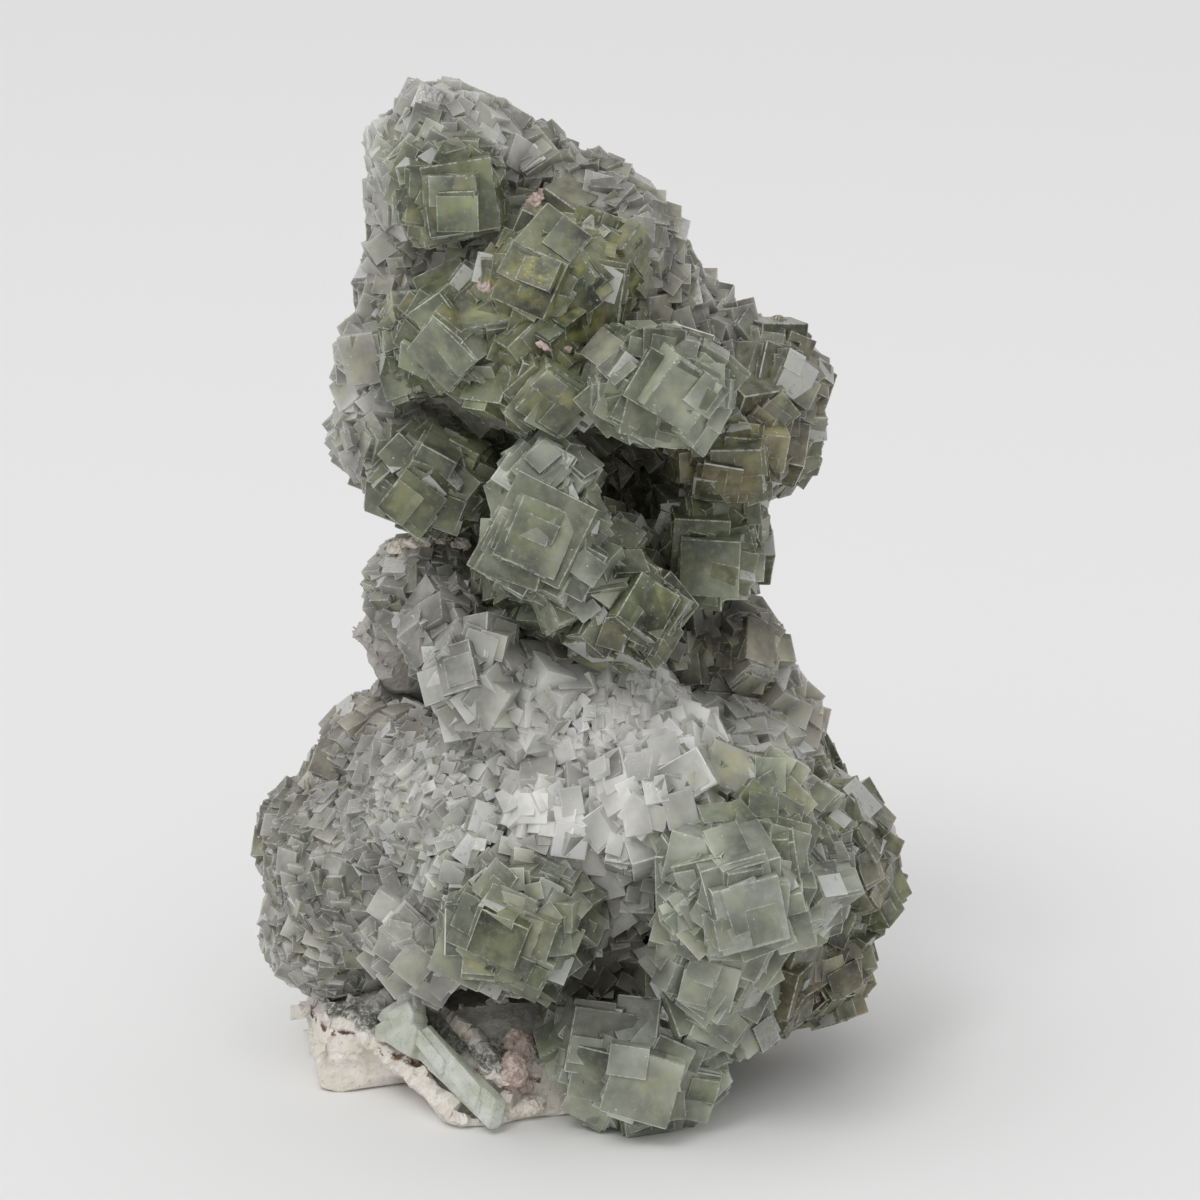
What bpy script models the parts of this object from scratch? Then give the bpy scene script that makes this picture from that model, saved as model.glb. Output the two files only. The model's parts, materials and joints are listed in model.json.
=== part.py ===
"""Fluorite specimen: a standing cluster of green-grey fluorite cubes grown over knobs on pale rock.

It has three pieces: the crystal cluster, the rock that it grew on, and a pale blade of spar.
Millimetres in the tables below, metres in the scene. X runs to the viewer's right, Y away from
the viewer and Z up. The origin lies on the flat underside of the rock, where the specimen rests.
"""

import math
import random

import bmesh
import bpy
from mathutils import Euler, Matrix, Vector
from mathutils.bvhtree import BVHTree

MM = 0.001
SEED = 11
GAP = 0.3 * MM  # free space kept between the rock, the blade and the cluster

# Knobs of the cluster: centre x, y, z, half sizes across, deep and up, and the edge of its cubes.
KNOBS = {
    "head_crown": (-24, 2, 180.5, 10.5, 10, 9.5, 8),
    "head_front": (-23, -14, 173, 9.5, 9, 9, 10),
    "head_left": (-31, 3, 176, 7.5, 9, 9, 8),
    "head_nape": (-12, 9, 173, 10.5, 10, 9.5, 8),
    "head_back": (-16, 20, 164, 12, 11, 14, 9),
    "upper_body": (-6, 4, 146, 26, 20, 26, 9),
    "ridge_top": (2, 7, 165, 11, 10, 11, 8),
    "ridge_edge": (10.5, 0, 160, 8.5, 9, 9.5, 8),
    "ridge_back": (6, 20, 150, 15, 14, 14, 9),
    "left_cheek": (-30, 3, 158, 9, 9, 11, 8),
    "green_heart": (-5, -22, 157, 13, 10, 11, 11),
    "green_left": (-19, -19, 148, 12, 10, 10, 10),
    "left_shoulder": (-34.5, -1, 139.5, 9, 9, 9, 8),
    "left_back": (-24, 20, 140, 13, 12, 18, 9),
    "left_flank": (-37, 2, 125, 8.5, 10, 10, 8),
    "left_hang": (-27, -8, 118, 11, 11, 9.5, 9),
    "heart_low": (-6, -26, 141, 11, 10, 9, 10),
    "right_lobe": (15, -37, 142, 12.5, 10, 10, 10),
    "ridge_slope": (18, 4, 144.5, 8, 9, 8.5, 8),
    "right_shoulder": (35, 1, 134, 10, 11, 10.5, 8),
    "right_shoulder_low": (36, 2, 123, 9.5, 10, 9, 8),
    "right_brown": (28, -13, 124, 10, 9, 8.5, 9),
    "right_hang": (24, -13, 106, 10, 9, 9.5, 10),
    "right_back": (26, 18, 128, 14, 13, 15, 9),
    "waist_core": (2, 10, 108, 22, 20, 26, 9),
    "waist_back": (22, 22, 98, 14, 12, 18, 9),
    "mid_crown": (-5, -29, 122, 8, 8, 8, 8),
    "mid_face": (-5, -35, 112, 10.5, 9, 10, 12),
    "mid_ridge": (8, -32, 99, 10.5, 9, 9, 10),
    "mid_throat": (0, -18, 98, 17, 16, 17, 8),
    "mid_left": (-28, -1, 94, 11.5, 10, 11, 7),
    "mid_foot": (-18, -27, 84, 8.5, 9, 10, 8),
    "mid_right": (31, 4, 81, 8.5, 10, 9.5, 8),
    "tan_edge": (39, 10, 65, 8, 9, 8.5, 8),
    "mound_top": (3, -17, 71, 18, 17, 17.5, 7),
    "mound_back": (23, -5, 58, 20, 18, 17, 9),
    "mound_right": (28, -32, 57, 15, 14, 14, 10),
    "mound_front": (29, -51, 52, 12.5, 11, 11, 12),
    "mound_body": (8, -10, 46, 38, 30, 30, 9),
    "slope_top": (-37, 6, 60, 12, 13, 11.5, 7),
    "slope_edge": (-49.5, 8, 42, 12, 14, 12, 7),
    "slope_middle": (-20, -20, 56, 19, 17, 16, 7),
    "slope_body": (-28, -4, 40, 31, 24, 21, 9),
    "green_low": (-10, -40, 42, 14, 13, 13.5, 10),
    "lower_left": (-44.5, -4, 28, 16, 15, 14, 7),
    "right_low": (48, -3, 39, 13, 14, 17, 8),
    "right_low_foot": (44, -6, 22, 12, 14, 12, 8),
    "right_low_back": (36, 22, 44, 16, 15, 20, 9),
    "pit": (8, -18, 27, 18, 20, 14, 8),
    "bottom_right": (23, -32, 25, 13, 12, 13, 10),
    "bottom_front": (11, -34, 13.5, 15, 13, 13, 11),
}

# How the cubes of a knob are turned as one stack: to the right, upwards, and in their own plane.
# A knob that isn't listed takes a turn of its own from the seed.
STACK_TURNS = {
    "head_front": (5, 0, -8),
    "head_crown": (-20, 25, 15),
    "green_heart": (-12, 12, 30),
    "green_left": (-20, -8, 45),
    "heart_low": (10, -12, 38),
    "left_shoulder": (-30, 10, -20),
    "left_hang": (-15, -10, 35),
    "right_lobe": (15, 5, 32),
    "right_brown": (10, -5, 8),
    "right_hang": (5, -8, 2),
    "right_shoulder": (30, 15, 25),
    "mid_crown": (-10, 25, 30),
    "mid_face": (-12, 18, 24),
    "mid_ridge": (25, 15, 40),
    "mound_front": (8, -5, -15),
    "mound_right": (20, 20, 35),
    "green_low": (-15, 5, 20),
    "bottom_right": (20, 5, -30),
    "bottom_front": (5, -5, 25),
}

# The rock: centre x, y, z and half sizes across, deep and up.
ROCK_LUMPS = {
    "foot_left": (-34, 2, 9, 25, 27, 17),
    "foot_front": (-14, -16, 6, 21, 27, 13),
    "heel": (8, 16, 12, 40, 28, 20),
    "back_left": (-22, 20, 44, 22, 20, 32),
    "back_right": (10, 24, 48, 20, 18, 36),
    "left_boss": (-32.5, 12, 82, 13.5, 16, 21),
    "spine": (-6, 26, 96, 22, 14, 40),
    "spine_top": (2, 28, 126, 14, 12, 22),
}
ROCK_BACK = 35  # the broken back face of the rock, from the origin
ROCK_BACK_TILT = (6, 0, -7)  # degrees about X, Y and Z
ROCK_STEP = 3.6 * MM  # the rock's skin is sampled at this step
ROCK_CHIPS = (20 * MM, 11 * MM)  # width and height of its broken lumps
ROCK_GRAIN = (11 * MM, 5 * MM)
ROCK_CLEAN = 2.5 * MM
ROCK_FORM_SHARE = 0.3  # share of its facets kept before it is broken
ROCK_SHARE = 0.075  # share of its facets that is kept

# The blade of spar that lies down the front of the rock, from its broad end to its tip.
BLADE_HEAD = (-36, -23, 19)
BLADE_TIP = (-14, -43, 4)
BLADE_FACE = (-0.5, -0.8, 0.25)  # where its broad side looks
BLADE_WIDTH = 12
BLADE_THICKNESS = 7
BLADE_TAPER = 0.55  # the tip's width, as a share of the broad end's
BLADE_EDGE = 0.8

CORE_STEP = 3 * MM  # the skin over the knobs, which the cubes stand on, is sampled at this step
CORE_SHARE = 0.05  # and thinned to this share of its facets
CORE_SIZE = 0.9  # of the knobs' own size, so that the cubes cover it
CRYSTAL_SHARE = 0.36  # share of the joined crystals' facets that is kept
MEND_ROUNDS = 5
EASE_ROUNDS = 40  # tangled corners move this often, each time by this share of the way
EASE_SHARE = 0.3

CUBE_RISE = (0.08, 0.28)  # how far a cube's outer face stands off its knob, as a share of its edge
CUBE_SIZES = (0.75, 1.25)
LEAD_SIZE = 1.3  # the cube that faces the viewer on a knob of the table above
LEAD_RISE = 0.24
STACK_SHARE = 0.55  # 1 keeps a knob's cubes parallel, 0 lays each flat on its knob
CUBE_LEAN = 0.16
CUBE_TWIST = math.radians(9)
CUBE_SPACING = 1.2  # step between cubes on a knob, as a share of their edge
FEWEST_CUBES = 8

GROUND = 400 * MM  # edge of the block that cuts off all below the resting plane
SOLVER = "MANIFOLD"  # the exact solver leaves open edges where this many cubes meet


def clear_scene():
    for obj in list(bpy.data.objects):
        bpy.data.objects.remove(obj)


def new_collection(name):
    collection = bpy.data.collections.new(name)
    bpy.context.scene.collection.children.link(collection)
    return collection


def add_object(name, mesh_builder, collection, helper=False):
    """One object whose mesh is filled by mesh_builder(bmesh). A helper is only cut or joined with."""
    bm = bmesh.new()
    mesh_builder(bm)
    mesh = bpy.data.meshes.new(name)
    bm.to_mesh(mesh)
    bm.free()
    obj = bpy.data.objects.new(name, mesh)
    collection.objects.link(obj)
    if helper:
        obj.hide_render = True
        obj.display_type = "WIRE"
    return obj


def material(name, colour, roughness, transmission=0.0):
    made = bpy.data.materials.new(name)
    made.use_nodes = True
    shader = made.node_tree.nodes["Principled BSDF"]
    shader.inputs["Base Color"].default_value = (*colour, 1)
    shader.inputs["Roughness"].default_value = roughness
    shader.inputs["Metallic"].default_value = 0.0
    shader.inputs["Transmission Weight"].default_value = transmission
    return made


def boolean(obj, operation, other):
    """other is an object or a collection of objects."""
    step = obj.modifiers.new(operation.lower(), "BOOLEAN")
    step.operation = operation
    step.solver = SOLVER
    if isinstance(other, bpy.types.Collection):
        step.operand_type = "COLLECTION"
        step.collection = other
    else:
        step.object = other


def resample(obj, step):
    skin = obj.modifiers.new("resample", "REMESH")
    skin.mode = "VOXEL"
    skin.voxel_size = step


def thin(obj, share):
    fewer = obj.modifiers.new("thin", "DECIMATE")
    fewer.ratio = share


def fuse_lumps(name, lumps, step, share, collection, size=1.0):
    """Ellipsoids melted into one skin, sampled at a step and thinned to a share of its facets."""

    def build(bm):
        for x, y, z, across, deep, up in (row[:6] for row in lumps.values()):
            place = Matrix.Translation(Vector((x, y, z)) * MM)
            sides = Matrix.Diagonal((across * MM, deep * MM, up * MM, 1))
            bmesh.ops.create_icosphere(bm, subdivisions=3, radius=size, matrix=place @ sides)

    obj = add_object(name, build, collection)
    resample(obj, step)
    thin(obj, share)
    return obj


def roughen(obj, pattern, lump):
    """Lumps of this width and height, from a noise pattern."""
    width, height = lump
    noise = bpy.data.textures.new(f"{obj.name}_{pattern.lower()}", pattern)
    noise.noise_scale = width
    step = obj.modifiers.new(pattern.lower(), "DISPLACE")
    step.texture = noise
    step.texture_coords = "LOCAL"
    step.strength = height
    step.mid_level = 0.5


def depth_in(point, lump):
    """Distance from a lump's centre in its own half sizes: under 1 is inside it."""
    x, y, z, across, deep, up = lump[:6]
    return math.sqrt(
        ((point.x - x) / across) ** 2 + ((point.y - y) / deep) ** 2 + ((point.z - z) / up) ** 2
    )


def directions(count):
    """Evenly spread directions over a sphere, along a golden spiral."""
    golden = math.pi * (3 - math.sqrt(5))
    for step in range(count):
        z = 1 - 2 * (step + 0.5) / count
        ring = math.sqrt(1 - z * z)
        yield Vector((ring * math.cos(golden * step), ring * math.sin(golden * step), z))


def random_unit(rng):
    return Vector([rng.gauss(0, 1) for _ in range(3)]).normalized()


def stack_axes(name, rng):
    """The three axes that the cubes of a knob share, the first one towards the viewer."""
    turn = STACK_TURNS.get(name)
    if turn is None:
        facing = random_unit(rng)
        across = facing.cross(random_unit(rng)).normalized()
        return facing, across, facing.cross(across)
    right, up, roll = (math.radians(angle) for angle in turn)
    frame = Euler((-up, 0, right)).to_matrix() @ Matrix.Rotation(roll, 3, "Y")
    return frame @ Vector((0, -1, 0)), frame @ Vector((1, 0, 0)), frame @ Vector((0, 0, 1))


def cube_turn(outward, axes, rng):
    """A cube's rotation: the stack's nearest axis bent part of the way to the knob's own slope."""
    signed = [axis * sign for axis in axes for sign in (1, -1)]
    nearest = max(signed, key=outward.dot)
    guide = min(axes, key=lambda axis: abs(axis.dot(nearest)))
    lean = Vector([rng.uniform(-1, 1) for _ in range(3)]) * CUBE_LEAN
    facing = (nearest * STACK_SHARE + outward * (1 - STACK_SHARE) + lean).normalized()
    across = (guide - facing * guide.dot(facing)).normalized()
    turn = Matrix((across, facing.cross(across), facing)).transposed()
    return facing, turn @ Matrix.Rotation(rng.gauss(0, 1) * CUBE_TWIST, 3, "Z")


def hidden(point, name):
    """True inside another knob or the rock, where no cube is seen."""
    others = [lump for other, lump in KNOBS.items() if other != name]
    return any(depth_in(point, lump) < 1 for lump in [*others, *ROCK_LUMPS.values()])


def cubes_on(name, rng):
    """Places of the cubes on one knob, each as (matrix, edge)."""
    x, y, z, across, deep, up, edge = KNOBS[name]
    radius = (across * deep * up) ** (1 / 3)
    count = max(int(4 * math.pi * radius**2 / (edge * CUBE_SPACING) ** 2), FEWEST_CUBES)
    axes = stack_axes(name, rng)
    ways = [(way, rng.uniform(*CUBE_SIZES), rng.uniform(*CUBE_RISE)) for way in directions(count)]
    if name in STACK_TURNS:
        ways.append((axes[0], LEAD_SIZE, LEAD_RISE))
    for way, share, rise in ways:
        point = Vector((x, y, z)) + Vector((way.x * across, way.y * deep, way.z * up))
        outward = Vector((way.x / across, way.y / deep, way.z / up)).normalized()
        facing, turn = cube_turn(outward, axes, rng)
        if not hidden(point, name):
            middle = point + facing * edge * share * (rise - 0.5)
            yield Matrix.Translation(middle * MM) @ turn.to_4x4(), edge * share * MM


def add_cubes(collection):
    rng = random.Random(SEED)
    for name in KNOBS:
        for number, (place, edge) in enumerate(cubes_on(name, rng)):

            def build(bm, place=place, edge=edge):
                bmesh.ops.create_cube(bm, size=edge, matrix=place)

            add_object(f"{name}_cube_{number}", build, collection, helper=True)


def baked(obj, collection, change):
    """The object again with its modifiers applied and its mesh passed through change(bmesh)."""
    bm = bmesh.new()
    bm.from_object(obj, bpy.context.evaluated_depsgraph_get())
    change(bm)
    mesh = bpy.data.meshes.new(obj.name)
    bm.to_mesh(mesh)
    bm.free()
    name, materials = obj.name, list(obj.data.materials)
    bpy.data.objects.remove(obj)
    mesh.materials.clear()
    for used in materials:
        mesh.materials.append(used)
    fresh = bpy.data.objects.new(name, mesh)
    collection.objects.link(fresh)
    return fresh


def add_blade(collection):
    head, tip = Vector(BLADE_HEAD) * MM, Vector(BLADE_TIP) * MM
    along = (tip - head).normalized()
    face = Vector(BLADE_FACE)
    face = (face - along * face.dot(along)).normalized()
    frame = Matrix((along, face.cross(along), face)).transposed().to_4x4()
    size = Matrix.Diagonal(((tip - head).length, BLADE_WIDTH * MM, BLADE_THICKNESS * MM, 1))

    def build(bm):
        bmesh.ops.create_cube(bm, size=1, matrix=size)
        for corner in bm.verts:
            if corner.co.x > 0:
                corner.co.y *= BLADE_TAPER
        bm.transform(Matrix.Translation((head + tip) / 2) @ frame)

    blade = add_object("pale_spar_blade", build, collection)
    blade.data.materials.append(material("pale_spar", (0.62, 0.66, 0.58), 0.25, 0.3))
    soften = blade.modifiers.new("worn_edges", "BEVEL")
    soften.width = BLADE_EDGE * MM
    soften.segments = 1
    return blade


def grown(obj, by, helpers):
    """A copy that stands off the original all round, to cut its neighbours with."""
    copy = obj.copy()
    copy.data = obj.data.copy()
    copy.name = obj.name + "_room"
    helpers.objects.link(copy)
    copy.hide_render = True
    copy.display_type = "WIRE"
    step = copy.modifiers.new("gap", "DISPLACE")
    step.strength = by
    step.mid_level = 0.0
    return copy


def shells(bm):
    """The connected shells of a mesh, each as a list of faces."""
    left = set(bm.faces)
    while left:
        shell, front = [], [left.pop()]
        while front:
            face = front.pop()
            shell.append(face)
            for edge in face.edges:
                for near in edge.link_faces:
                    if near in left:
                        left.remove(near)
                        front.append(near)
        yield shell


def fill_pockets(bm):
    """Keeps the outer shell alone, which fills the pockets sealed between crystals."""
    outer = set(max(shells(bm), key=len))
    bmesh.ops.delete(bm, geom=[face for face in bm.faces if face not in outer], context="FACES")


def mend(bm):
    """Closes the few edges that thinning leaves with other than two faces, by a patch round each."""
    for _ in range(MEND_ROUNDS):
        faulty = {end for edge in bm.edges if len(edge.link_faces) != 2 for end in edge.verts}
        if not faulty:
            break
        around = {face for corner in faulty for face in corner.link_faces}
        bmesh.ops.delete(bm, geom=list(around), context="FACES")
        rim = [edge for edge in bm.edges if len(edge.link_faces) == 1]
        bmesh.ops.holes_fill(bm, edges=rim, sides=0)
        bmesh.ops.triangulate(bm, faces=bm.faces)
    bmesh.ops.recalc_face_normals(bm, faces=bm.faces)


def crossing_faces(bm):
    """Faces that cut through another that they share no corner with."""
    bm.faces.ensure_lookup_table()
    tree = BVHTree.FromBMesh(bm)
    for first, second in tree.overlap(tree):
        one, other = bm.faces[first], bm.faces[second]
        if not set(one.verts) & set(other.verts):
            yield one


def untangle(bm):
    """Eases the corners of faces that cross others towards their neighbours, until none cross."""
    for _ in range(EASE_ROUNDS):
        corners = {corner for face in crossing_faces(bm) for corner in face.verts}
        if not corners:
            break
        for corner in corners:
            near = [edge.other_vert(corner).co for edge in corner.link_edges]
            corner.co = corner.co.lerp(sum(near, Vector()) / len(near), EASE_SHARE)


def mend_and_fill(bm):
    mend(bm)
    fill_pockets(bm)
    untangle(bm)


def add_ground_cut(helpers):
    def build(bm):
        bmesh.ops.create_cube(bm, size=GROUND, matrix=Matrix.Translation((0, 0, -GROUND / 2)))

    return add_object("ground_cut", build, helpers, helper=True)


def add_back_cut(helpers):
    def build(bm):
        bmesh.ops.create_cube(bm, size=GROUND, matrix=Matrix.Translation((0, GROUND / 2, 0)))

    back = add_object("back_cut", build, helpers, helper=True)
    back.location = (0, ROCK_BACK * MM, 0)
    back.rotation_euler = [math.radians(angle) for angle in ROCK_BACK_TILT]
    return back


def add_rock(parts, helpers):
    rock = fuse_lumps("matrix_rock", ROCK_LUMPS, ROCK_STEP, ROCK_FORM_SHARE, parts)
    boolean(rock, "DIFFERENCE", add_back_cut(helpers))
    resample(rock, ROCK_STEP)
    roughen(rock, "VORONOI", ROCK_CHIPS)
    roughen(rock, "CLOUDS", ROCK_GRAIN)
    resample(rock, ROCK_CLEAN)
    thin(rock, ROCK_SHARE)
    rock.data.materials.append(material("pale_rock", (0.55, 0.50, 0.44), 0.9))
    return rock


def add_cluster(parts, cubes):
    """The knobs under their cubes, joined, thinned and mended into one closed skin."""
    cluster = fuse_lumps("fluorite_cluster", KNOBS, CORE_STEP, CORE_SHARE, parts, CORE_SIZE)
    cluster.data.materials.append(material("green_fluorite", (0.33, 0.38, 0.32), 0.2, 0.5))
    add_cubes(cubes)
    boolean(cluster, "UNION", cubes)
    thin(cluster, CRYSTAL_SHARE)
    return baked(cluster, parts, mend_and_fill)


def main():
    clear_scene()
    parts = new_collection("fluorite_specimen")
    helpers = new_collection("helpers")
    cubes = new_collection("cubes")

    ground = add_ground_cut(helpers)
    rock = add_rock(parts, helpers)
    rock_rooms = [grown(rock, step, helpers) for step in (GAP, GAP / 3)]
    blade = add_blade(parts)
    blade_room = grown(blade, GAP, helpers)
    cluster = add_cluster(parts, cubes)
    for neighbour in (blade_room, ground):
        boolean(rock, "DIFFERENCE", neighbour)
    for neighbour in (*rock_rooms, rock, blade_room, ground):
        boolean(cluster, "DIFFERENCE", neighbour)
    baked(cluster, parts, fill_pockets)


main()
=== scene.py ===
import itertools
import json
import math
import random

import bpy
import numpy as np
from mathutils import Euler, Matrix, Vector
from mathutils.kdtree import KDTree

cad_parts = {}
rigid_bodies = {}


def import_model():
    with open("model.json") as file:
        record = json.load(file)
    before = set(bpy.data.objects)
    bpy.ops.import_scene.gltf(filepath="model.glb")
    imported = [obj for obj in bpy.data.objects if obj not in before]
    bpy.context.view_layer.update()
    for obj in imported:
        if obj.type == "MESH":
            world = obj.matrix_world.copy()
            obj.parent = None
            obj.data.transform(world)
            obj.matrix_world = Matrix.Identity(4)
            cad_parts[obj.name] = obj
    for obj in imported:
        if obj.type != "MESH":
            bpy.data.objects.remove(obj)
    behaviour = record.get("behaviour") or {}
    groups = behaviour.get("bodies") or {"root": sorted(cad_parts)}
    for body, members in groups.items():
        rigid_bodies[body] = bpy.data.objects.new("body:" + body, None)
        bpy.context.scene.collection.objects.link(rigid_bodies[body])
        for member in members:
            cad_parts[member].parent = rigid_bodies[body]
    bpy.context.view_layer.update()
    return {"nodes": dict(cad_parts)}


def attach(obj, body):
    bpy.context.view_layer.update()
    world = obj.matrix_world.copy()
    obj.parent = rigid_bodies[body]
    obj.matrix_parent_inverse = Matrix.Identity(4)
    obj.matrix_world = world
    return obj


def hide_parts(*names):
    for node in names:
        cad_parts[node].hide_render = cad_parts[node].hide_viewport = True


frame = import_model()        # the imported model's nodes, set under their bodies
mm = 0.001
weldGap = 1e-6           # m, between the doubled points of a CAD node
print("frame loaded")

# The camera stands where the photographer stood, and places given in the photo are read through it.
cameraSet = {
    "aim": (4.4, 0, 92),          # mm
    "elevation": 15,              # degrees above the floor
    "distance": 850,              # mm
    "mmPerPixel": 0.19,           # at the aim point
    "imageWidth": 1200,
    "sensorWidth": 36,            # mm
    "nearest": 0.05,              # m
}


def placeCamera(settings):
    lift = math.radians(settings["elevation"])
    back = Vector((0, -math.cos(lift), math.sin(lift)))
    aim = Vector(settings["aim"]) * mm
    bpy.ops.object.camera_add(location=aim + back * settings["distance"] * mm)
    camera = bpy.context.object
    camera.name = "camera"
    camera.rotation_euler = (math.radians(90) - lift, 0, 0)
    wide = settings["imageWidth"] * settings["mmPerPixel"]
    camera.data.sensor_width = settings["sensorWidth"]
    camera.data.lens = settings["sensorWidth"] * settings["distance"] / wide
    camera.data.clip_start = settings["nearest"]
    bpy.context.scene.camera = camera


placeCamera(cameraSet)


# Shader maths: a wire is a socket that can be written in sums.
class Wire:
    def __init__(self, graph, socket):
        self.graph, self.socket = graph, socket

    def math(self, kind, *others):
        values = {0: self, **dict(enumerate(others, 1))}
        return self.graph.node("ShaderNodeMath", {"operation": kind}, values)

    def __add__(self, other):
        return self.math("ADD", other)

    def __radd__(self, other):
        return self.math("ADD", other)

    def __sub__(self, other):
        return self.math("SUBTRACT", other)

    def __rsub__(self, other):
        return self.graph.node("ShaderNodeMath", {"operation": "SUBTRACT"}, {0: other, 1: self})

    def __mul__(self, other):
        return self.math("MULTIPLY", other)

    def __rmul__(self, other):
        return self.math("MULTIPLY", other)

    def __truediv__(self, other):
        return self.math("DIVIDE", other)

    def __rtruediv__(self, other):
        return self.graph.node("ShaderNodeMath", {"operation": "DIVIDE"}, {0: other, 1: self})

    def least(self, other):
        return self.math("MINIMUM", other)

    def most(self, other):
        return self.math("MAXIMUM", other)

    def between(self, low, high, toLow=0.0, toHigh=1.0):
        settings = {"interpolation_type": "SMOOTHSTEP"}
        return self.graph.node(
            "ShaderNodeMapRange", settings, {0: self, 1: low, 2: high, 3: toLow, 4: toHigh}
        )


class Graph:
    def __init__(self, name):
        self.material = bpy.data.materials.new(name)
        self.material.use_nodes = True
        self.tree = self.material.node_tree
        self.tree.nodes.clear()

    def node(self, kind, settings=None, inputs=None, out=0):
        made = self.tree.nodes.new(kind)
        for name, value in (settings or {}).items():
            setattr(made, name, value)
        for name, value in (inputs or {}).items():
            socket = made.inputs[name]
            if isinstance(value, Wire):
                self.tree.links.new(value.socket, socket)
            else:
                socket.default_value = value
        return Wire(self, made.outputs[out])

    def mix(self, share, first, second, kind="MIX"):
        settings = {"data_type": "RGBA", "blend_type": kind}
        ready = [(*c, 1) if isinstance(c, tuple) else c for c in (first, second)]
        return self.node("ShaderNodeMix", settings, {0: share, 6: ready[0], 7: ready[1]}, out=2)

    def noise(self, size, detail=4, roughness=0.5, at=None, distortion=0.0):
        where = at or self.node("ShaderNodeTexCoord", out=3)
        sockets = {"Vector": where, "Scale": 1 / (size * mm), "Detail": detail,
                   "Roughness": roughness, "Distortion": distortion}
        return self.node("ShaderNodeTexNoise", {}, sockets)

    def attribute(self, name, out=0):
        return self.node("ShaderNodeAttribute", {"attribute_name": name}, {}, out)

    def finish(self, surface, volume=None):
        output = self.tree.nodes.new("ShaderNodeOutputMaterial")
        self.tree.links.new(surface.socket, output.inputs["Surface"])
        if volume:
            self.tree.links.new(volume.socket, output.inputs["Volume"])
        return self.material


def clearSelection():
    if bpy.context.object and bpy.context.object.mode != "OBJECT":
        bpy.ops.object.mode_set(mode="OBJECT")
    bpy.ops.object.select_all(action="DESELECT")


def pick(piece):
    clearSelection()
    piece.select_set(True)
    bpy.context.view_layer.objects.active = piece


def applyModifiers(piece):
    pick(piece)
    for modifier in list(piece.modifiers):
        bpy.ops.object.modifier_apply(modifier=modifier.name)


def settle(piece):
    # the finished piece's object sits at the origin, with its place in its mesh
    pick(piece)
    bpy.ops.object.transform_apply(location=True, rotation=True, scale=True)


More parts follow.
